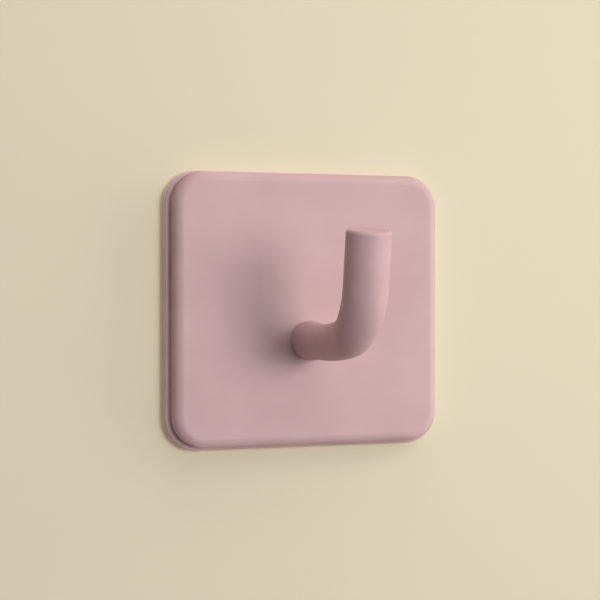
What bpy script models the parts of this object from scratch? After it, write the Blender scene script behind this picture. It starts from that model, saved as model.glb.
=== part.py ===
# Square wall hook: an adhesive pad carries a back plate, a hollow cover plate sits over the back
# plate's rim, and one screw from behind draws a bent, tapered hook rod against the cover.
# Metres. The wall is the plane Y = 0, the hook points along -Y and +Z is up.
# The origin is the middle of the pad's face on the wall.

import math

import bmesh
import bpy
from mathutils import Vector

# Clearance between pieces that seat on or fit in each other
FIT_GAP = 0.0003

# Adhesive pad
PAD_THICKNESS = 0.0008
PAD_MARGIN = 0.0030

# Back plate: the widest piece
PLATE_WIDTH = 0.0620
PLATE_HEIGHT = 0.0600
PLATE_CORNER_RADIUS = 0.0072
BACK_THICKNESS = 0.0012
BACK_EDGE_RADIUS = 0.0003
RIM_WIDTH = 0.0014
RIM_HEIGHT = 0.0011
RIB_WIDTH = 0.0016
BOSS_RADIUS = 0.0075
POCKET_DEPTH = 0.0022

# Cover plate: a shallow shell with a round front edge. The lips are how far the back plate
# shows past it at the sides, the top and the bottom.
SIDE_LIP = 0.0012
TOP_LIP = 0.0004
BOTTOM_LIP = 0.0008
COVER_CORNER_RADIUS = 0.0068
COVER_DEPTH = 0.0037
COVER_WALL = 0.0015
COVER_FACE = 0.0016
COVER_EDGE_RADIUS = 0.0022
COVER_FOOT_RADIUS = 0.0002

# Hook rod: radii at the root, the neck and the upright, and the run of its centre line
ROOT_DROP = 0.0065
ROOT_RADIUS = 0.00425
NECK_RADIUS = 0.0038
UPRIGHT_RADIUS = 0.0044
NECK_DISTANCE = 0.0080
STUB_STRAIGHT = 0.0080
RISE_LENGTH = 0.0172
RISE_ANGLE = math.radians(11.0)
BEND_RADIUS = 0.0128
LEAN_ANGLE = math.radians(9.25)
TIP_LENGTH = 0.0104
TIP_EDGE_RADIUS = 0.0007

# Key of the rod in the cover: a round spigot with two flats
SPIGOT_RADIUS = 0.0034
SPIGOT_HALF_FLATS = 0.0029

# Screw with a wafer head and a toothed washer
SCREW_RADIUS = 0.0020
SCREW_LENGTH = 0.0110
SCREW_END_CHAMFER = 0.0005
HEAD_RADIUS = 0.0043
HEAD_HEIGHT = 0.0010
HEAD_EDGE_RADIUS = 0.0003
HEAD_CLEARANCE = 0.0007
DRIVE_LENGTH = 0.0042
DRIVE_WIDTH = 0.0010
DRIVE_DEPTH = 0.0006
WASHER_RADIUS = 0.0040
WASHER_THICKNESS = 0.0004
WASHER_TOOTH_DEPTH = 0.0007
WASHER_TEETH = 12
THREAD_DEPTH_SPARE = 0.0012

# Facets
CORNER_STEPS = 10
FILLET_STEPS = 6
ROD_SIDES = 36
ROUND_SIDES = 36
ROD_STEP = 0.0011
CUT_OVERRUN = 0.0010

# Depths measured out from the wall
BACK_REAR = PAD_THICKNESS + FIT_GAP
BACK_FRONT = BACK_REAR + BACK_THICKNESS
COVER_REAR = BACK_FRONT + FIT_GAP
COVER_FRONT = COVER_REAR + COVER_DEPTH
COVER_INSIDE = COVER_FRONT - COVER_FACE
BOSS_FRONT = COVER_INSIDE - FIT_GAP
POCKET_FLOOR = BACK_REAR + POCKET_DEPTH
WASHER_FRONT = POCKET_FLOOR - FIT_GAP
WASHER_REAR = WASHER_FRONT - WASHER_THICKNESS
HEAD_FRONT = WASHER_REAR - FIT_GAP
HEAD_REAR = HEAD_FRONT - HEAD_HEIGHT
ROOT_SEAT = COVER_FRONT + FIT_GAP
SCREW_END = HEAD_FRONT + SCREW_LENGTH

# Sizes that follow from the fits
COVER_WIDTH = PLATE_WIDTH - 2 * SIDE_LIP
COVER_HEIGHT = PLATE_HEIGHT - TOP_LIP - BOTTOM_LIP
COVER_MIDDLE = (BOTTOM_LIP - TOP_LIP) / 2
RIM_INSET = COVER_WALL + FIT_GAP
HOLE_RADIUS = SCREW_RADIUS + FIT_GAP
HOLE_END = SCREW_END + THREAD_DEPTH_SPARE
SCREW_HEIGHT = -ROOT_DROP


def clear_scene():
    for thing in list(bpy.data.objects):
        bpy.data.objects.remove(thing, do_unlink=True)


def material(name, colour, roughness, metallic):
    made = bpy.data.materials.new(name)
    made.use_nodes = True
    shader = made.node_tree.nodes["Principled BSDF"]
    shader.inputs["Base Color"].default_value = (*colour, 1.0)
    shader.inputs["Roughness"].default_value = roughness
    shader.inputs["Metallic"].default_value = metallic
    made.diffuse_color = (*colour, 1.0)
    return made


def at_depth(outline, depth):
    """A flat outline of (x, z) pairs, placed at a depth out from the wall."""
    return [Vector((x, -depth, z)) for x, z in outline]


def rounded_rectangle(width, height, radius, inset=0.0, middle=0.0):
    """An outline of (x, z) pairs about a middle height, drawn in by inset, its corners as arcs."""
    arc_radius = radius - inset
    points = []
    for corner in range(4):
        start = corner * math.pi / 2
        side_x = 1 if corner in (0, 3) else -1
        side_z = 1 if corner in (0, 1) else -1
        centre_x = side_x * (width / 2 - radius)
        centre_z = middle + side_z * (height / 2 - radius)
        for step in range(CORNER_STEPS + 1):
            angle = start + step / CORNER_STEPS * math.pi / 2
            points.append(
                (centre_x + arc_radius * math.cos(angle), centre_z + arc_radius * math.sin(angle))
            )
    return points


def circle(radius, sides, centre_z=0.0):
    turns = (2 * math.pi * side / sides for side in range(sides))
    return [(radius * math.cos(turn), centre_z + radius * math.sin(turn)) for turn in turns]


def flatted_circle(radius, half_flats, sides, centre_z=0.0):
    """A circle cut by two upright flats."""
    return [
        (max(-half_flats, min(half_flats, x)), z) for x, z in circle(radius, sides, centre_z)
    ]


def toothed_circle(radius, tooth_depth, teeth, centre_z=0.0):
    """A circle whose edge steps in and out, with three points on each tooth."""
    points = []
    sides = 3 * teeth
    for side in range(sides):
        reach = radius - tooth_depth if side % 3 == 2 else radius
        turn = 2 * math.pi * side / sides
        points.append((reach * math.cos(turn), centre_z + reach * math.sin(turn)))
    return points


def fillet(radius):
    """Steps of a quarter round, as (drawn in, gone forward) from the side to the front."""
    angles = (math.pi / 2 * step / FILLET_STEPS for step in range(FILLET_STEPS + 1))
    return [(radius * (1 - math.cos(angle)), radius * math.sin(angle)) for angle in angles]


def loft(name, rings, closed=False):
    """One solid through rings with equal point counts, its two ends filled, or joined if closed."""
    form = bmesh.new()
    rows = [[form.verts.new(point) for point in ring] for ring in rings]
    pairs = list(zip(rows, rows[1:]))
    if closed:
        pairs.append((rows[-1], rows[0]))
    for first, second in pairs:
        count = len(first)
        for side in range(count):
            after = (side + 1) % count
            form.faces.new((first[side], first[after], second[after], second[side]))
    if not closed:
        form.faces.new(rows[0])
        form.faces.new(rows[-1])
    bmesh.ops.recalc_face_normals(form, faces=form.faces)
    mesh = bpy.data.meshes.new(name)
    form.to_mesh(mesh)
    form.free()
    made = bpy.data.objects.new(name, mesh)
    bpy.context.scene.collection.objects.link(made)
    return made


def prism(name, outline, rear, front):
    return loft(name, [at_depth(outline, rear), at_depth(outline, front)])


def bar(name, low_x, high_x, low_z, high_z, rear, front):
    outline = [(low_x, low_z), (high_x, low_z), (high_x, high_z), (low_x, high_z)]
    return prism(name, outline, rear, front)


def combine(target, helper, operation):
    """Adds a helper to the target or cuts it away, and leaves the helper as a wire guide."""
    helper.hide_render = True
    helper.display_type = "WIRE"
    modifier = target.modifiers.new(helper.name, "BOOLEAN")
    modifier.operation = operation
    modifier.solver = "EXACT"
    modifier.object = helper


def finish(made, surface, smooth_angle=40.0):
    made.data.materials.append(surface)
    made.data.shade_smooth()
    made.data.set_sharp_from_angle(angle=math.radians(smooth_angle))


def make_pad(surface):
    width = PLATE_WIDTH - 2 * PAD_MARGIN
    height = PLATE_HEIGHT - 2 * PAD_MARGIN
    outline = rounded_rectangle(width, height, PLATE_CORNER_RADIUS - PAD_MARGIN)
    finish(prism("adhesive_pad", outline, 0.0, PAD_THICKNESS), surface)


def cover_outline(inset):
    """The cover's outline, or a smaller one inside it, which the back plate's rim follows too."""
    return rounded_rectangle(COVER_WIDTH, COVER_HEIGHT, COVER_CORNER_RADIUS, inset, COVER_MIDDLE)


def make_back_plate(surface):
    def outline(inset):
        return rounded_rectangle(PLATE_WIDTH, PLATE_HEIGHT, PLATE_CORNER_RADIUS, inset)

    edge = fillet(BACK_EDGE_RADIUS)
    rear_edge = [
        at_depth(outline(drawn), BACK_REAR + BACK_EDGE_RADIUS - forward)
        for drawn, forward in reversed(edge)
    ]
    front_edge = [
        at_depth(outline(drawn), BACK_FRONT - BACK_EDGE_RADIUS + forward)
        for drawn, forward in edge
    ]
    rim_front = BACK_FRONT + RIM_HEIGHT
    rim_inside = RIM_INSET + RIM_WIDTH
    rim = [
        at_depth(cover_outline(RIM_INSET), BACK_FRONT),
        at_depth(cover_outline(RIM_INSET), rim_front),
        at_depth(cover_outline(rim_inside), rim_front),
        at_depth(cover_outline(rim_inside), BACK_FRONT),
    ]
    plate = loft("back_plate", rear_edge + front_edge + rim)

    # The boss stands forward to the cover, and four ribs tie it to the rim
    boss_rear = BACK_REAR + BACK_THICKNESS / 2
    boss = prism(
        "boss_form", circle(BOSS_RADIUS, ROUND_SIDES, SCREW_HEIGHT), boss_rear, BOSS_FRONT
    )
    combine(plate, boss, "UNION")
    reach_x = COVER_WIDTH / 2 - RIM_INSET - RIM_WIDTH / 2
    reach_z = COVER_HEIGHT / 2 - RIM_INSET - RIM_WIDTH / 2
    half = RIB_WIDTH / 2
    rib_front = rim_front - RIM_WIDTH / 4
    across = bar(
        "cross_rib_form",
        -reach_x,
        reach_x,
        SCREW_HEIGHT - half,
        SCREW_HEIGHT + half,
        boss_rear,
        rib_front,
    )
    combine(plate, across, "UNION")
    low_z = COVER_MIDDLE - reach_z
    high_z = COVER_MIDDLE + reach_z
    upright = bar("upright_rib_form", -half, half, low_z, high_z, boss_rear, rib_front)
    combine(plate, upright, "UNION")

    pocket_outline = circle(HEAD_RADIUS + HEAD_CLEARANCE, ROUND_SIDES, SCREW_HEIGHT)
    pocket = prism("pocket_cutter", pocket_outline, BACK_REAR - CUT_OVERRUN, POCKET_FLOOR)
    combine(plate, pocket, "DIFFERENCE")
    hole_outline = circle(HOLE_RADIUS, ROUND_SIDES, SCREW_HEIGHT)
    hole = prism(
        "boss_hole_cutter", hole_outline, BACK_REAR - CUT_OVERRUN, BOSS_FRONT + CUT_OVERRUN
    )
    combine(plate, hole, "DIFFERENCE")
    finish(plate, surface)


def make_cover(surface):
    inside = [
        at_depth(cover_outline(COVER_WALL), COVER_INSIDE),
        at_depth(cover_outline(COVER_WALL), COVER_REAR),
    ]
    foot = [
        at_depth(cover_outline(drawn), COVER_REAR + COVER_FOOT_RADIUS - forward)
        for drawn, forward in reversed(fillet(COVER_FOOT_RADIUS))
    ]
    front = [
        at_depth(cover_outline(drawn), COVER_FRONT - COVER_EDGE_RADIUS + forward)
        for drawn, forward in fillet(COVER_EDGE_RADIUS)
    ]
    cover = loft("cover_plate", inside + foot + front)
    key_outline = flatted_circle(
        SPIGOT_RADIUS + FIT_GAP, SPIGOT_HALF_FLATS + FIT_GAP, ROUND_SIDES, SCREW_HEIGHT
    )
    key = prism(
        "key_hole_cutter", key_outline, COVER_INSIDE - CUT_OVERRUN, COVER_FRONT + CUT_OVERRUN
    )
    combine(cover, key, "DIFFERENCE")
    finish(cover, surface)


def rod_run():
    """Stations of the centre line as (distance, out from the wall, height, direction)."""
    bend_angle = math.pi / 2 - LEAN_ANGLE - RISE_ANGLE
    stretches = (
        (STUB_STRAIGHT, 0.0),
        (RISE_LENGTH, RISE_ANGLE),
        (BEND_RADIUS * bend_angle, bend_angle),
        (TIP_LENGTH, 0.0),
    )
    distance = 0.0
    out = ROOT_SEAT
    height = SCREW_HEIGHT
    heading = 0.0
    stations = [(distance, out, height, heading)]
    for length, turn in stretches:
        steps = max(1, round(length / ROD_STEP))
        for _ in range(steps):
            middle = heading + turn / steps / 2
            out += length / steps * math.cos(middle)
            height += length / steps * math.sin(middle)
            heading += turn / steps
            distance += length / steps
            stations.append((distance, out, height, heading))
    return stations


def eased(share):
    share = max(0.0, min(1.0, share))
    return share * share * (3 - 2 * share)


def rod_radius(distance, bend_end):
    """Wide at the root, slim at the neck, and full again from the end of the bend."""
    if distance < NECK_DISTANCE:
        return ROOT_RADIUS + (NECK_RADIUS - ROOT_RADIUS) * eased(distance / NECK_DISTANCE)
    grown = eased((distance - NECK_DISTANCE) / (bend_end - NECK_DISTANCE))
    return NECK_RADIUS + (UPRIGHT_RADIUS - NECK_RADIUS) * grown


def rod_ring(radius, out, height, heading):
    """A ring of the rod, square to its centre line."""
    return [
        Vector((x, -out + z * math.sin(heading), height + z * math.cos(heading)))
        for x, z in circle(radius, ROD_SIDES)
    ]


def make_rod(surface):
    stations = rod_run()
    total = stations[-1][0]
    bend_end = total - TIP_LENGTH
    hole_outline = circle(HOLE_RADIUS, ROD_SIDES, SCREW_HEIGHT)
    drill_point = HOLE_RADIUS / 4
    bore = [
        at_depth(circle(drill_point, ROD_SIDES, SCREW_HEIGHT), HOLE_END + THREAD_DEPTH_SPARE),
        at_depth(hole_outline, HOLE_END),
        at_depth(hole_outline, COVER_INSIDE),
    ]
    spigot_outline = flatted_circle(SPIGOT_RADIUS, SPIGOT_HALF_FLATS, ROD_SIDES, SCREW_HEIGHT)
    spigot = [at_depth(spigot_outline, COVER_INSIDE), at_depth(spigot_outline, ROOT_SEAT)]
    body = [
        rod_ring(rod_radius(distance, bend_end), out, height, heading)
        for distance, out, height, heading in stations
        if distance < total - TIP_EDGE_RADIUS
    ]
    _, out, height, heading = stations[-1]
    tip = []
    for drawn, forward in fillet(TIP_EDGE_RADIUS):
        back = TIP_EDGE_RADIUS - forward
        tip.append(
            rod_ring(
                UPRIGHT_RADIUS - drawn,
                out - back * math.cos(heading),
                height - back * math.sin(heading),
                heading,
            )
        )
    finish(loft("hook_rod", bore + spigot + body + tip), surface)


def make_screw(surface):
    def ring(radius, depth):
        return at_depth(circle(radius, ROUND_SIDES, SCREW_HEIGHT), depth)

    head = [
        ring(HEAD_RADIUS - drawn, HEAD_REAR + HEAD_EDGE_RADIUS - forward)
        for drawn, forward in reversed(fillet(HEAD_EDGE_RADIUS))
    ]
    shank = [
        ring(HEAD_RADIUS, HEAD_FRONT),
        ring(SCREW_RADIUS, HEAD_FRONT),
        ring(SCREW_RADIUS, SCREW_END - SCREW_END_CHAMFER),
        ring(SCREW_RADIUS - SCREW_END_CHAMFER, SCREW_END),
    ]
    screw = loft("hook_screw", head + shank)
    half_length = DRIVE_LENGTH / 2
    half_width = DRIVE_WIDTH / 2
    rear = HEAD_REAR - CUT_OVERRUN
    front = HEAD_REAR + DRIVE_DEPTH
    slots = (
        ("drive_across_cutter", half_length, half_width),
        ("drive_upright_cutter", half_width, half_length),
    )
    for name, reach_x, reach_z in slots:
        low_z = SCREW_HEIGHT - reach_z
        high_z = SCREW_HEIGHT + reach_z
        combine(screw, bar(name, -reach_x, reach_x, low_z, high_z, rear, front), "DIFFERENCE")
    finish(screw, surface)


def make_washer(surface):
    outer = toothed_circle(WASHER_RADIUS, WASHER_TOOTH_DEPTH, WASHER_TEETH, SCREW_HEIGHT)
    inner = circle(HOLE_RADIUS, 3 * WASHER_TEETH, SCREW_HEIGHT)
    rings = [
        at_depth(inner, WASHER_REAR),
        at_depth(outer, WASHER_REAR),
        at_depth(outer, WASHER_FRONT),
        at_depth(inner, WASHER_FRONT),
    ]
    finish(loft("lock_washer", rings, closed=True), surface, 25.0)


def main():
    clear_scene()
    pink_coat = material("satin_pink_coat", (0.60, 0.40, 0.39), 0.55, 0.0)
    rod_coat = material("satin_pink_rod_coat", (0.58, 0.38, 0.37), 0.52, 0.0)
    back_coat = material("satin_pink_back_coat", (0.60, 0.41, 0.40), 0.58, 0.0)
    foam = material("white_foam_tape", (0.80, 0.80, 0.78), 0.85, 0.0)
    zinc = material("zinc_plated_steel", (0.66, 0.67, 0.69), 0.32, 1.0)
    spring_steel = material("blued_spring_steel", (0.20, 0.20, 0.22), 0.40, 1.0)
    make_pad(foam)
    make_back_plate(back_coat)
    make_cover(pink_coat)
    make_rod(rod_coat)
    make_screw(zinc)
    make_washer(spring_steel)


main()
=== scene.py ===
import math

import bpy
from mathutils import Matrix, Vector


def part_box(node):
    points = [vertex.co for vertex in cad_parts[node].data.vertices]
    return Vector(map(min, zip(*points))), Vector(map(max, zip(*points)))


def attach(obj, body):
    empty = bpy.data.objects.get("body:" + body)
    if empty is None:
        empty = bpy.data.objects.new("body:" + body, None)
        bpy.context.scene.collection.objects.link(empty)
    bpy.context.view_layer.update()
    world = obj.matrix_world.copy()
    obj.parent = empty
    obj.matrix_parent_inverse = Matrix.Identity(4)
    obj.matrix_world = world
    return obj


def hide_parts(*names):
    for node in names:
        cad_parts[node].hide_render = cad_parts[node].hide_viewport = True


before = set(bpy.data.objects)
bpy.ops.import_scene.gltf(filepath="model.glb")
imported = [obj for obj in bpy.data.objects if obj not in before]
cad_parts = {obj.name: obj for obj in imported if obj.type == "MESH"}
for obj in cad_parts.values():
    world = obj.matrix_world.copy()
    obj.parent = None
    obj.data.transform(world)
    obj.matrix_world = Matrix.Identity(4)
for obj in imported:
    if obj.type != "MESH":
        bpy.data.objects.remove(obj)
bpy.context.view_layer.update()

# Square stick-on wall hook, dressed over its CAD frame. The wall is the plane Y = 0, the hook
# points along -Y and +Z is up. The dictionaries hold millimetres, degrees and watts. A depth is
# a distance out from the wall.

mm = 0.001
print("frame loaded:", ", ".join(sorted(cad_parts)))


# Camera, at the photograph's angle: level, from the left of the hook

photoView = {
    "place": (-81.8, -268.0, 5.5), "turn": -16.9, "lens": 75.96, "sensor": 36.0,
    "shift": -0.025,      # the photograph's horizon lies 15 pixels above its middle
    "nearest": 10, "farthest": 30000,
}


def addCamera():
    bpy.ops.object.camera_add(
        location=Vector(photoView["place"]) * mm,
        rotation=(math.radians(90), 0, math.radians(photoView["turn"])),
    )
    eye = bpy.context.object
    eye.name = "photoCamera"
    eye.data.lens = photoView["lens"]
    eye.data.sensor_width = photoView["sensor"]
    eye.data.shift_y = photoView["shift"]
    eye.data.clip_start = photoView["nearest"] * mm
    eye.data.clip_end = photoView["farthest"] * mm
    bpy.context.scene.camera = eye


# Modelling helpers

closeness = 0.001      # points this near merge, and a depth this near counts as the same
squareOn = 0.9         # a normal's share along Y above which a face counts as square to it
cutPast = 1.0          # how far a cutter runs past a face that it opens, or a join runs inside
roundSides = 72
shading = {"smoothAngle": 32, "areaWeight": 100}


def deselectAll():      # ends edit mode as well
    if bpy.context.mode != "OBJECT":
        bpy.ops.object.mode_set(mode="OBJECT")
    bpy.ops.object.select_all(action="DESELECT")


def makeActive(piece):
    deselectAll()
    piece.select_set(True)
    bpy.context.view_layer.objects.active = piece


# Selects the points, edges or faces that pass a test, and leaves the piece in edit mode
def pick(piece, kind, test):
    makeActive(piece)
    bpy.ops.object.mode_set(mode="EDIT")
    bpy.ops.mesh.select_mode(type=kind)
    bpy.ops.mesh.select_all(action="DESELECT")
    bpy.ops.object.mode_set(mode="OBJECT")
    points = piece.data.vertices
    if kind == "FACE":
        for face in piece.data.polygons:
            face.select = test(face.center, face.normal)
    elif kind == "EDGE":
        for edge in piece.data.edges:
            edge.select = test(points[edge.vertices[0]].co, points[edge.vertices[1]].co)
    else:
        for point in points:
            point.select = test(point.co)
    bpy.ops.object.mode_set(mode="EDIT")


def pickAllFaces(piece):
    pick(piece, "FACE", lambda centre, normal: True)


def isAt(place, depth):
    return abs(place.y + depth * mm) < closeness * mm


def faceAt(depth, side):      # a test for faces at a depth that look out (-1) or in (1)
    return lambda centre, normal: isAt(centre, depth) and normal.y * side > squareOn


def roundEdges(radius, segments):
    bpy.ops.mesh.bevel(
        offset=radius * mm, offset_type="OFFSET", segments=segments, profile=0.5,
        affect="EDGES", clamp_overlap=False,
    )


def roundRims(piece, depths, radius, segments):      # all edges that lie at one of the depths
    pick(
        piece, "EDGE",
        lambda a, b: any(isAt(a, depth) and isAt(b, depth) for depth in depths),
    )
    roundEdges(radius, segments)


def extrudeOut(distance):
    bpy.ops.mesh.extrude_region_move(
        TRANSFORM_OT_translate={"value": (0, -distance * mm, 0)}
    )


def turnOut(piece):      # merges what coincides and turns all faces outward
    makeActive(piece)
    bpy.ops.object.mode_set(mode="EDIT")
    bpy.ops.mesh.select_all(action="SELECT")
    bpy.ops.mesh.remove_doubles(threshold=closeness * mm)
    bpy.ops.mesh.normals_make_consistent(inside=False)
    deselectAll()


def addBlock(name, low, high):
    deselectAll()
    bpy.ops.mesh.primitive_cube_add(size=1, location=(low + high) / 2)
    block = bpy.context.object
    block.name = name
    block.scale = high - low
    bpy.ops.object.transform_apply(location=True, rotation=True, scale=True)
    return block


def addRoundedPlate(name, low, high, corner, segments):
    plate = addBlock(name, low, high)
    pick(plate, "EDGE", lambda a, b: abs(a.y - b.y) > (high.y - low.y) / 2)
    roundEdges(corner, segments)
    return plate


# A disc square to Y at a depth, or a cylinder if it has a length
def addRound(name, radius, height, depth, length=0.0, sides=roundSides):
    deselectAll()
    bpy.ops.mesh.primitive_circle_add(
        vertices=sides, radius=radius * mm, fill_type="NGON",
        location=(0, -depth * mm, height * mm), rotation=(math.radians(90), 0, 0),
    )
    made = bpy.context.object
    made.name = name
    bpy.ops.object.transform_apply(location=True, rotation=True, scale=True)
    if length:
        pickAllFaces(made)
        extrudeOut(length)
        turnOut(made)
    return made


# A peg with two upright flats, for the arm's spigot and the hole that keys it
def addKey(name, radius, halfFlats, height, depth, length):
    key = addRound(name, radius, height, depth)
    for side in (-1, 1):
        pick(key, "VERT", lambda place: side * place.x > halfFlats * mm)
        bpy.ops.transform.resize(
            value=(0, 1, 1), center_override=(side * halfFlats * mm, 0, 0)
        )
    pickAllFaces(key)
    extrudeOut(length)
    turnOut(key)
    return key


def combine(piece, other, way):
    makeActive(piece)
    bpy.ops.object.modifier_add(type="BOOLEAN")
    step = piece.modifiers[-1]
    step.operation = way
    step.solver = "MANIFOLD"
    step.object = other
    bpy.ops.object.modifier_apply(modifier=step.name)
    bpy.data.objects.remove(other, do_unlink=True)
    turnOut(piece)


def finishPiece(piece, name, finish, node):
    piece.name = name
    piece.data.name = name
    makeActive(piece)
    bpy.ops.object.shade_smooth_by_angle(angle=math.radians(shading["smoothAngle"]))
    bpy.ops.object.modifier_add(type="WEIGHTED_NORMAL")
    evenShade = piece.modifiers[-1]
    evenShade.weight = shading["areaWeight"]
    evenShade.keep_sharp = True
    bpy.ops.object.modifier_apply(modifier=evenShade.name)
    piece.data.materials.clear()
    piece.data.materials.append(finish)
    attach(piece, "root")
    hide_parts(node)


# Finish helpers

def hexColour(code):
    channels = [int(code[start:start + 2], 16) / 255 for start in (1, 3, 5)]
    linear = [
        value / 12.92 if value <= 0.04045 else ((value + 0.055) / 1.055) ** 2.4
        for value in channels
    ]
    return (*linear, 1.0)


def perMetre(size):      # a pattern's scale from the size of one feature
    return 1 / (size * mm)


def addNode(tree, kind, settings=None, values=None, links=None):
    node = tree.nodes.new(kind)
    for name, value in (settings or {}).items():
        setattr(node, name, value)
    for name, value in (values or {}).items():
        node.inputs[name].default_value = value
    for name, source in (links or {}).items():
        tree.links.new(source, node.inputs[name])
    return node


def startFinish(name):
    finish = bpy.data.materials.new(name)
    finish.use_nodes = True
    finish.node_tree.nodes.clear()
    return finish, finish.node_tree


def startPattern(name):
    finish, tree = startFinish(name)
    return finish, tree, addNode(tree, "ShaderNodeTexCoord").outputs["Object"]


def showSurface(tree, surface):
    addNode(tree, "ShaderNodeOutputMaterial", links={"Surface": surface})


# The noise of each pattern
driftNoise = {"Detail": 3.0, "Roughness": 0.5}
grainNoise = {"Detail": 2.0, "Roughness": 0.6}
peelNoise = {"Detail": 1.0, "Roughness": 0.4}
rippleNoise = {"Detail": 2.0, "Roughness": 0.5}
turnedNoise = {"Detail": 1.0, "Roughness": 0.5}
# The noise values between which tones and roughness run from one end to the other
toneSpread = (0.35, 0.65)
sheenSpread = (0.3, 0.7)


def addNoise(tree, where, size, noise):
    return addNode(
        tree, "ShaderNodeTexNoise", values={"Scale": perMetre(size), **noise},
        links={"Vector": where},
    ).outputs[0]


def addTones(tree, finish, share):      # from the light tone to the deep one
    return addNode(
        tree, "ShaderNodeMix", settings={"data_type": "RGBA"},
        values={6: hexColour(finish["light"]), 7: hexColour(finish["deep"])},
        links={0: share},
    ).outputs[2]


def addSpread(tree, value, spread, low, high):
    return addNode(
        tree, "ShaderNodeMapRange",
        values={"From Min": spread[0], "From Max": spread[1], "To Min": low, "To Max": high},
        links={"Value": value},
    ).outputs[0]


def addRelief(tree, pattern, height, under=None):
    links = {"Height": pattern}
    if under is not None:
        links["Normal"] = under
    return addNode(
        tree, "ShaderNodeBump", values={"Strength": 1.0, "Distance": height * mm}, links=links,
    ).outputs[0]


def addShader(tree, values, links):
    shader = addNode(tree, "ShaderNodeBsdfPrincipled", values=values, links=links)
    showSurface(tree, shader.outputs[0])


# Finishes

# Sprayed satin coat: two close tones in soft drifts, a fine grain and a faint orange peel.
# It gives a smooth, dry look with a broad, weak highlight.
plateCoat = {
    "name": "satinPinkCoat", "light": "#D1AEAD", "deep": "#CBA8A7",
    "driftSize": 14.0, "grainSize": 0.35, "peelSize": 1.1,
    "peelHeight": 0.004, "grainHeight": 0.0012,
    "smoothest": 0.66, "roughest": 0.78, "shine": 0.3, "ior": 1.46,
}
# The same coat on the arm, with smaller drifts and a touch smoother. Its tones are a shade
# deeper than the plate's: painted shade that darkens the whole arm so that its shaded side
# looks darker
shadeDeepenedArmCoat = {
    "name": "satinPinkArmCoat", "light": "#CAA6A7", "deep": "#C39F9F",
    "driftSize": 9.0, "grainSize": 0.35, "peelSize": 0.9,
    "peelHeight": 0.004, "grainHeight": 0.0012,
    "smoothest": 0.64, "roughest": 0.76, "shine": 0.3, "ior": 1.46,
}
# Moulded ABS coloured to match the coat, with a spark-eroded grain from its mould. It looks
# drier and flatter than the coat.
mouldedPink = {
    "name": "mouldedPinkAbs", "light": "#CEACAC", "deep": "#C8A5A5",
    "driftSize": 11.0, "grainSize": 0.25, "peelSize": 0.6,
    "peelHeight": 0.002, "grainHeight": 0.003,
    "smoothest": 0.68, "roughest": 0.8, "shine": 0.3, "ior": 1.46,
}


def makeCoat(coat):
    finish, tree, where = startPattern(coat["name"])
    drift = addNoise(tree, where, coat["driftSize"], driftNoise)
    grain = addNoise(tree, where, coat["grainSize"], grainNoise)
    peel = addNoise(tree, where, coat["peelSize"], peelNoise)
    blend = addSpread(tree, drift, toneSpread, 0.0, 1.0)
    tone = addTones(tree, coat, blend)
    sheen = addSpread(tree, grain, sheenSpread, coat["smoothest"], coat["roughest"])
    wave = addRelief(tree, peel, coat["peelHeight"])
    tooth = addRelief(tree, grain, coat["grainHeight"], wave)
    addShader(
        tree,
        values={"Metallic": 0.0, "IOR": coat["ior"], "Specular IOR Level": coat["shine"]},
        links={"Base Color": tone, "Roughness": sheen, "Normal": tooth},
    )
    return finish


# Closed-cell acrylic foam tape: white, dry and finely pitted on its cut edge
foamTape = {
    "name": "closedCellFoamTape", "light": "#EDECE6", "deep": "#DDDBD2",
    "cellSize": 0.22, "cellDepth": 0.03, "driftSize": 5.0, "roughness": 0.88, "ior": 1.45,
}
# Its sticky face, under a clear skin of acrylic adhesive: wet-looking, with faint ripples
tapeFace = {
    "name": "acrylicAdhesiveFace", "light": "#E9E8E1", "deep": "#D8D6CC",
    "rippleSize": 1.6, "rippleHeight": 0.01, "driftSize": 7.0, "roughness": 0.38, "ior": 1.47,
}


def makeFoam():
    finish, tree, where = startPattern(foamTape["name"])
    cells = addNode(
        tree, "ShaderNodeTexVoronoi", values={"Scale": perMetre(foamTape["cellSize"])},
        links={"Vector": where},
    ).outputs[0]
    drift = addNoise(tree, where, foamTape["driftSize"], driftNoise)
    tone = addTones(tree, foamTape, drift)
    pits = addRelief(tree, cells, foamTape["cellDepth"])
    addShader(
        tree, values={"Roughness": foamTape["roughness"], "IOR": foamTape["ior"]},
        links={"Base Color": tone, "Normal": pits},
    )
    return finish


def makeTapeFace():
    finish, tree, where = startPattern(tapeFace["name"])
    ripple = addNoise(tree, where, tapeFace["rippleSize"], rippleNoise)
    drift = addNoise(tree, where, tapeFace["driftSize"], driftNoise)
    tone = addTones(tree, tapeFace, drift)
    film = addRelief(tree, ripple, tapeFace["rippleHeight"])
    addShader(
        tree, values={"Roughness": tapeFace["roughness"], "IOR": tapeFace["ior"]},
        links={"Base Color": tone, "Normal": film},
    )
    return finish


# Bright zinc plating: pale metal with a fine turned grain and cloudy patches of sheen
zincPlate = {
    "name": "brightZincPlate", "light": "#D2D4D8", "deep": "#BFC2C4",
    "cloudSize": 1.4, "grainSize": 0.08, "grainHeight": 0.001,
    "smoothest": 0.24, "roughest": 0.38,
}
# Blued spring steel: a dark oxide skin, a little uneven from the heat
bluedSteel = {
    "name": "bluedSpringSteel", "light": "#6A6E78", "deep": "#4B4E58",
    "cloudSize": 1.0, "grainSize": 0.06, "grainHeight": 0.0008,
    "smoothest": 0.32, "roughest": 0.46,
}


def makeMetal(metal):
    finish, tree, where = startPattern(metal["name"])
    cloud = addNoise(tree, where, metal["cloudSize"], driftNoise)
    grain = addNoise(tree, where, metal["grainSize"], turnedNoise)
    tone = addTones(tree, metal, cloud)
    sheen = addSpread(tree, cloud, sheenSpread, metal["smoothest"], metal["roughest"])
    tooth = addRelief(tree, grain, metal["grainHeight"])
    addShader(
        tree, values={"Metallic": 1.0},
        links={"Base Color": tone, "Roughness": sheen, "Normal": tooth},
    )
    return finish


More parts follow.
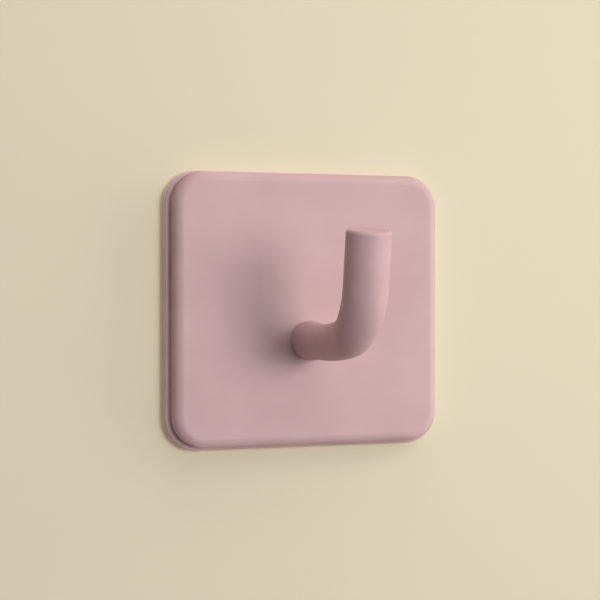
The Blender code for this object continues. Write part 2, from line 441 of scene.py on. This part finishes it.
# The CAD draws the pieces 0.3 mm apart where they seat. Here pad, cover and arm settle on their
# seats, all but touching them, as on the real hook.

# Foam tape pad, set in from the plate's edge

tapePad = {
    "corner": 4.2, "cornerSegments": 20, "edgeRound": 0.12, "edgeSegments": 3, "settle": 0.28,
}


def addTapePad(foam, stickyFace):
    low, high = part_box("adhesive_pad")
    low.y -= tapePad["settle"] * mm
    pad = addRoundedPlate("tapePad", low, high, tapePad["corner"], tapePad["cornerSegments"])
    roundRims(
        pad, (-low.y / mm, -high.y / mm), tapePad["edgeRound"], tapePad["edgeSegments"]
    )
    turnOut(pad)
    finishPiece(pad, "foamTapePad", foam, "adhesive_pad")
    pad.data.materials.append(stickyFace)
    for face in pad.data.polygons:
        face.material_index = 1 if abs(face.normal.y) > squareOn else 0
    print("foam tape pad made")


# Back plate: lip, rim that locates the cover, boss, ribs and the screw's pocket

backPlate = {
    "thickness": 1.2, "corner": 7.2, "cornerSegments": 28,
    "edgeRound": 0.3, "edgeSegments": 5,
    "rimInset": 1.8, "rimCorner": 5.0, "rimWidth": 1.4, "rimHeight": 1.1,
    "ribWidth": 1.6, "ribFront": 3.05, "bossRadius": 7.5,
    "pocketRadius": 5.0, "pocketDepth": 2.2, "holeRadius": 2.3,
}


# Rim, boss and ribs all start sunk half into the plate
def addBackPlate(finish, screwHeight):
    low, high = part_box("back_plate")
    rear = -high.y / mm
    front = rear + backPlate["thickness"]
    sunk = rear + backPlate["thickness"] / 2
    bossFront = -low.y / mm
    plate = addRoundedPlate(
        "backPlate", Vector((low.x, -front * mm, low.z)), high,
        backPlate["corner"], backPlate["cornerSegments"],
    )
    roundRims(plate, (rear, front), backPlate["edgeRound"], backPlate["edgeSegments"])

    coverLow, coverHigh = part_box("cover_plate")
    rimFront = front + backPlate["rimHeight"]

    def addRimPlate(name, inset, corner, past):
        return addRoundedPlate(
            name,
            Vector((coverLow.x + inset * mm, -(rimFront + past) * mm, coverLow.z + inset * mm)),
            Vector((coverHigh.x - inset * mm, -(sunk - past) * mm, coverHigh.z - inset * mm)),
            corner, backPlate["cornerSegments"],
        )

    rim = addRimPlate("rim", backPlate["rimInset"], backPlate["rimCorner"], 0)
    hollow = addRimPlate(
        "rimHollow", backPlate["rimInset"] + backPlate["rimWidth"],
        backPlate["rimCorner"] - backPlate["rimWidth"], cutPast,
    )
    combine(rim, hollow, "DIFFERENCE")
    combine(plate, rim, "UNION")

    boss = addRound("boss", backPlate["bossRadius"], screwHeight, sunk, bossFront - sunk)
    combine(plate, boss, "UNION")
    half = backPlate["ribWidth"] / 2 * mm
    ribFront = -backPlate["ribFront"] * mm
    ribRear = -sunk * mm
    centre = screwHeight * mm
    intoRim = (backPlate["rimInset"] + backPlate["rimWidth"] / 2) * mm
    across = addBlock(
        "crossRib", Vector((coverLow.x + intoRim, ribFront, centre - half)),
        Vector((coverHigh.x - intoRim, ribRear, centre + half)),
    )
    combine(plate, across, "UNION")
    upright = addBlock(
        "uprightRib", Vector((-half, ribFront, coverLow.z + intoRim)),
        Vector((half, ribRear, coverHigh.z - intoRim)),
    )
    combine(plate, upright, "UNION")

    pocket = addRound(
        "pocket", backPlate["pocketRadius"], screwHeight, rear - cutPast,
        backPlate["pocketDepth"] + cutPast,
    )
    combine(plate, pocket, "DIFFERENCE")
    hole = addRound(
        "screwHole", backPlate["holeRadius"], screwHeight, rear - cutPast,
        bossFront - rear + 2 * cutPast,
    )
    combine(plate, hole, "DIFFERENCE")
    finishPiece(plate, "ribbedBackPlate", finish, "back_plate")
    print("back plate made")


# Cover plate: a hollow shell with rounded corners, a round front edge and a keyed hole

coverPlate = {
    "corner": 6.8, "cornerSegments": 32, "frontRound": 2.2, "frontSegments": 16,
    "footRound": 0.12, "footSegments": 3, "wall": 1.5, "face": 1.6, "settle": 0.26,
    "keyRadius": 3.7, "keyHalfFlats": 3.2,
}


def addCoverPlate(finish, screwHeight):
    low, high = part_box("cover_plate")
    high.y += coverPlate["settle"] * mm
    rear = -high.y / mm
    front = -low.y / mm
    shell = addRoundedPlate(
        "coverPlate", low, high, coverPlate["corner"], coverPlate["cornerSegments"]
    )
    roundRims(shell, (front,), coverPlate["frontRound"], coverPlate["frontSegments"])
    roundRims(shell, (rear,), coverPlate["footRound"], coverPlate["footSegments"])
    pick(shell, "FACE", faceAt(rear, 1))
    bpy.ops.mesh.inset(thickness=(coverPlate["wall"] - coverPlate["footRound"]) * mm)
    extrudeOut(front - rear - coverPlate["face"])
    key = addKey(
        "keyHole", coverPlate["keyRadius"], coverPlate["keyHalfFlats"], screwHeight,
        front - coverPlate["face"] - cutPast, coverPlate["face"] + 2 * cutPast,
    )
    combine(shell, key, "DIFFERENCE")
    finishPiece(shell, "roundedCoverPlate", finish, "cover_plate")
    print("cover plate made")


# Hook arm: flared root, slim neck, long rise, bend and leaning tip, all drawn out of one ring

hookArm = {
    "seat": 6.6, "settle": 0.22,
    "rootRadius": 4.25, "neckRadius": 3.8, "neckAt": 8.0, "fullRadius": 4.4,
    "stub": 8.0, "rise": 17.2, "riseTurn": 11.0, "bendRadius": 12.8, "lean": 9.25,
    "tip": 10.4, "tipRound": 0.7, "tipSegments": 6, "stepLength": 0.7, "sides": 80,
    "spigotRadius": 3.4, "spigotHalfFlats": 2.9, "spigotEnd": 4.7,
    "boreRadius": 2.3, "boreEnd": 14.5, "drillPoint": 1.2, "drillTaper": 0.25,
}


def armSteps():      # the length and the turn of each short step along the arm
    bendTurn = 90 - hookArm["lean"] - hookArm["riseTurn"]
    bendLength = hookArm["bendRadius"] * math.radians(bendTurn)
    runs = (
        (hookArm["stub"], 0.0),
        (hookArm["rise"], hookArm["riseTurn"]),
        (bendLength, bendTurn),
        (hookArm["tip"], 0.0),
    )
    steps = []
    for length, turn in runs:
        count = max(1, round(length / hookArm["stepLength"]))
        steps += [(length / count, math.radians(turn / count))] * count
    return steps


def eased(share):
    share = min(1.0, max(0.0, share))
    return share * share * (3 - 2 * share)


def armRadius(distance, bendEnd):
    root, neck, full = (hookArm[name] for name in ("rootRadius", "neckRadius", "fullRadius"))
    slimmed = eased(distance / hookArm["neckAt"])
    filled = eased((distance - hookArm["neckAt"]) / (bendEnd - hookArm["neckAt"]))
    return root + (neck - root) * slimmed + (full - neck) * filled


def addHookArm(finish, screwHeight):
    steps = armSteps()
    bendEnd = sum(length for length, turn in steps) - hookArm["tip"]
    arm = addRound(
        "hookArm", hookArm["rootRadius"], screwHeight, hookArm["seat"] - hookArm["settle"],
        sides=hookArm["sides"],
    )
    pickAllFaces(arm)
    extrudeOut(hookArm["settle"])
    centre = Vector((0, -hookArm["seat"], screwHeight)) * mm
    heading = 0.0
    distance = 0.0
    radius = hookArm["rootRadius"]
    for length, turn in steps:
        middle = heading + turn / 2
        move = Vector((0, -math.cos(middle), math.sin(middle))) * length * mm
        bpy.ops.mesh.extrude_region_move(TRANSFORM_OT_translate={"value": move})
        centre += move
        distance += length
        heading += turn
        grown = armRadius(distance, bendEnd) / radius
        radius *= grown
        bpy.ops.transform.resize(value=(grown, grown, grown), center_override=centre)
        bpy.ops.transform.rotate(value=turn, orient_axis="X", center_override=centre)
    bpy.ops.mesh.region_to_loop()
    roundEdges(hookArm["tipRound"], hookArm["tipSegments"])
    turnOut(arm)

    spigot = addKey(
        "spigot", hookArm["spigotRadius"], hookArm["spigotHalfFlats"], screwHeight,
        hookArm["spigotEnd"], hookArm["seat"] - hookArm["spigotEnd"] + cutPast,
    )
    combine(arm, spigot, "UNION")
    bore = addRound(
        "bore", hookArm["boreRadius"], screwHeight, hookArm["spigotEnd"] - cutPast,
        hookArm["boreEnd"] - hookArm["spigotEnd"] + cutPast,
    )
    pick(bore, "FACE", faceAt(hookArm["boreEnd"], -1))
    extrudeOut(hookArm["drillPoint"])
    bpy.ops.transform.resize(
        value=(hookArm["drillTaper"], 1, hookArm["drillTaper"]),
        center_override=(0, 0, screwHeight * mm),
    )
    turnOut(bore)
    combine(arm, bore, "DIFFERENCE")
    finishPiece(arm, "bentHookArm", finish, "hook_rod")
    print("hook arm made, tip at", [round(value / mm, 2) for value in centre])


# Stage: a plain pale wall that the lamp behind shines through, and a plain pale floor

stageSet = {
    "wallBehind": 0.3, "wallSize": 5000, "wallColour": "#E1D7BA", "wallBounce": "#DFCBBF",
    "floorDrop": 600, "floorSize": 9000, "floorColour": "#A8A397",
    "floorGlow": "#D9D3C2", "glowStrength": 0.6, "roughness": 0.9,
}


# 1 for the camera's rays and for reflections and glass, so that they show the background too
def raysThatSeeBackground(tree):
    ray = addNode(tree, "ShaderNodeLightPath")
    seen = ray.outputs["Is Camera Ray"]
    for kind in ("Is Glossy Ray", "Is Transmission Ray"):
        seen = addNode(
            tree, "ShaderNodeMath", settings={"operation": "MAXIMUM"},
            links={0: seen, 1: ray.outputs[kind]},
        ).outputs[0]
    return seen


def startStagePaint(name, colour):
    finish, tree = startFinish(name)
    paint = addNode(
        tree, "ShaderNodeBsdfPrincipled",
        values={"Base Color": hexColour(colour), "Roughness": stageSet["roughness"]},
    )
    return finish, tree, paint.outputs[0]


def mixShaders(tree, share, first, second):
    return addNode(
        tree, "ShaderNodeMixShader", links={0: share, 1: first, 2: second}
    ).outputs[0]


# Clear from behind, so that the hook's back can be seen. The light it sends back on to the hook
# has a faint warm pink of its own, without the wall's yellow.
def makeWallPaint():
    finish, tree, paint = startStagePaint("plainWallPaint", stageSet["wallColour"])
    ray = addNode(tree, "ShaderNodeLightPath")
    bounce = addNode(
        tree, "ShaderNodeBsdfDiffuse", values={"Color": hexColour(stageSet["wallBounce"])}
    )
    front = mixShaders(tree, ray.outputs["Is Diffuse Ray"], paint, bounce.outputs[0])
    side = addNode(tree, "ShaderNodeNewGeometry")
    clear = addNode(tree, "ShaderNodeBsdfTransparent")
    showSurface(tree, mixShaders(tree, side.outputs["Backfacing"], front, clear.outputs[0]))
    return finish


def makeFloorPaint():      # the camera sees it pale though the lamps stand far above it
    finish, tree, paint = startStagePaint("plainFloorPaint", stageSet["floorColour"])
    level = addNode(
        tree, "ShaderNodeMath", settings={"operation": "MULTIPLY"},
        values={1: stageSet["glowStrength"]}, links={0: raysThatSeeBackground(tree)},
    )
    glow = addNode(
        tree, "ShaderNodeEmission", values={"Color": hexColour(stageSet["floorGlow"])},
        links={"Strength": level.outputs[0]},
    )
    both = addNode(tree, "ShaderNodeAddShader", links={0: paint, 1: glow.outputs[0]})
    showSurface(tree, both.outputs[0])
    return finish


def addStage():
    deselectAll()
    bpy.ops.mesh.primitive_plane_add(
        size=stageSet["wallSize"] * mm, location=(0, stageSet["wallBehind"] * mm, 0),
        rotation=(math.radians(90), 0, 0),
    )
    wall = bpy.context.object
    wall.name = "paleWall"
    wall.data.materials.append(makeWallPaint())
    wall.visible_shadow = False      # light for the hook's back passes through
    wall.visible_glossy = False
    bpy.ops.mesh.primitive_plane_add(
        size=stageSet["floorSize"] * mm, location=(0, 0, -stageSet["floorDrop"] * mm)
    )
    floor = bpy.context.object
    floor.name = "paleFloor"
    floor.visible_diffuse = False    # it sends no light up under the hook
    floor.data.materials.append(makeFloorPaint())
    print("stage made")


# Light: a soft key near the hook and a little right of it, a fill behind the key, a wide lamp
# high in front, a tall one and a low one to the right, one overhead and one from behind, in an
# even pale room. Each lamp's place is an angle to the right of square on, an angle up and a
# distance. All are white.

lamps = [
    {"name": "softKey", "right": 20, "up": 7, "distance": 450,
     "width": 170, "height": 150, "power": 0.6},
    {"name": "frontFill", "right": 15, "up": 4.5, "distance": 1200,
     "width": 380, "height": 370, "power": 3.5},
    {"name": "highFront", "right": 20, "up": 41, "distance": 1200,
     "width": 1300, "height": 350, "power": 3.3},
    {"name": "tallSide", "right": 72, "up": 18, "distance": 1200,
     "width": 500, "height": 1000, "power": 4.3},
    {"name": "lowSide", "right": 82, "up": -25, "distance": 900,
     "width": 400, "height": 400, "power": 1.9},
    {"name": "overhead", "right": 10, "up": 78, "distance": 1200,
     "width": 500, "height": 450, "power": 2.6},
    {"name": "behind", "right": 180, "up": 15, "distance": 1000,
     "width": 500, "height": 500, "power": 6.5},
]
lampColour = "#FFFFFF"
surroundings = {
    "ambient": "#F4F6FF", "ambientStrength": 0.18,
    "backdrop": "#D9D3C2", "backdropStrength": 1.0,
}


def addLamps():
    for lamp in lamps:
        right = math.radians(lamp["right"])
        up = math.radians(lamp["up"])
        place = lamp["distance"] * mm * Vector(
            (math.sin(right) * math.cos(up), -math.cos(right) * math.cos(up), math.sin(up))
        )
        bpy.ops.object.light_add(
            type="AREA", location=place, rotation=(-place).to_track_quat("-Z", "Y").to_euler()
        )
        light = bpy.context.object
        light.name = lamp["name"]
        light.data.shape = "RECTANGLE"
        light.data.size = lamp["width"] * mm
        light.data.size_y = lamp["height"] * mm
        light.data.energy = lamp["power"]
        light.data.color = hexColour(lampColour)[:3]
    print("lamps placed")


def setSurroundings():
    world = bpy.data.worlds.new("paleStudio")
    bpy.context.scene.world = world
    world.use_nodes = True
    tree = world.node_tree
    tree.nodes.clear()
    ambient, backdrop = (
        addNode(
            tree, "ShaderNodeBackground",
            values={"Color": hexColour(surroundings[name]),
                    "Strength": surroundings[name + "Strength"]},
        ).outputs[0]
        for name in ("ambient", "backdrop")
    )
    both = mixShaders(tree, raysThatSeeBackground(tree), ambient, backdrop)
    addNode(tree, "ShaderNodeOutputWorld", links={"Surface": both})


addCamera()
screwLow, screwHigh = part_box("hook_screw")
screwAxisHeight = (screwLow.z + screwHigh.z) / 2 / mm

addTapePad(makeFoam(), makeTapeFace())
addBackPlate(makeCoat(mouldedPink), screwAxisHeight)
addCoverPlate(makeCoat(plateCoat), screwAxisHeight)
addHookArm(makeCoat(shadeDeepenedArmCoat), screwAxisHeight)
for node, metal in (("hook_screw", zincPlate), ("lock_washer", bluedSteel)):
    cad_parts[node].data.materials.clear()
    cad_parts[node].data.materials.append(makeMetal(metal))
print("screw and washer finished")

addStage()
addLamps()
setSurroundings()
bpy.context.scene.view_settings.view_transform = "Standard"
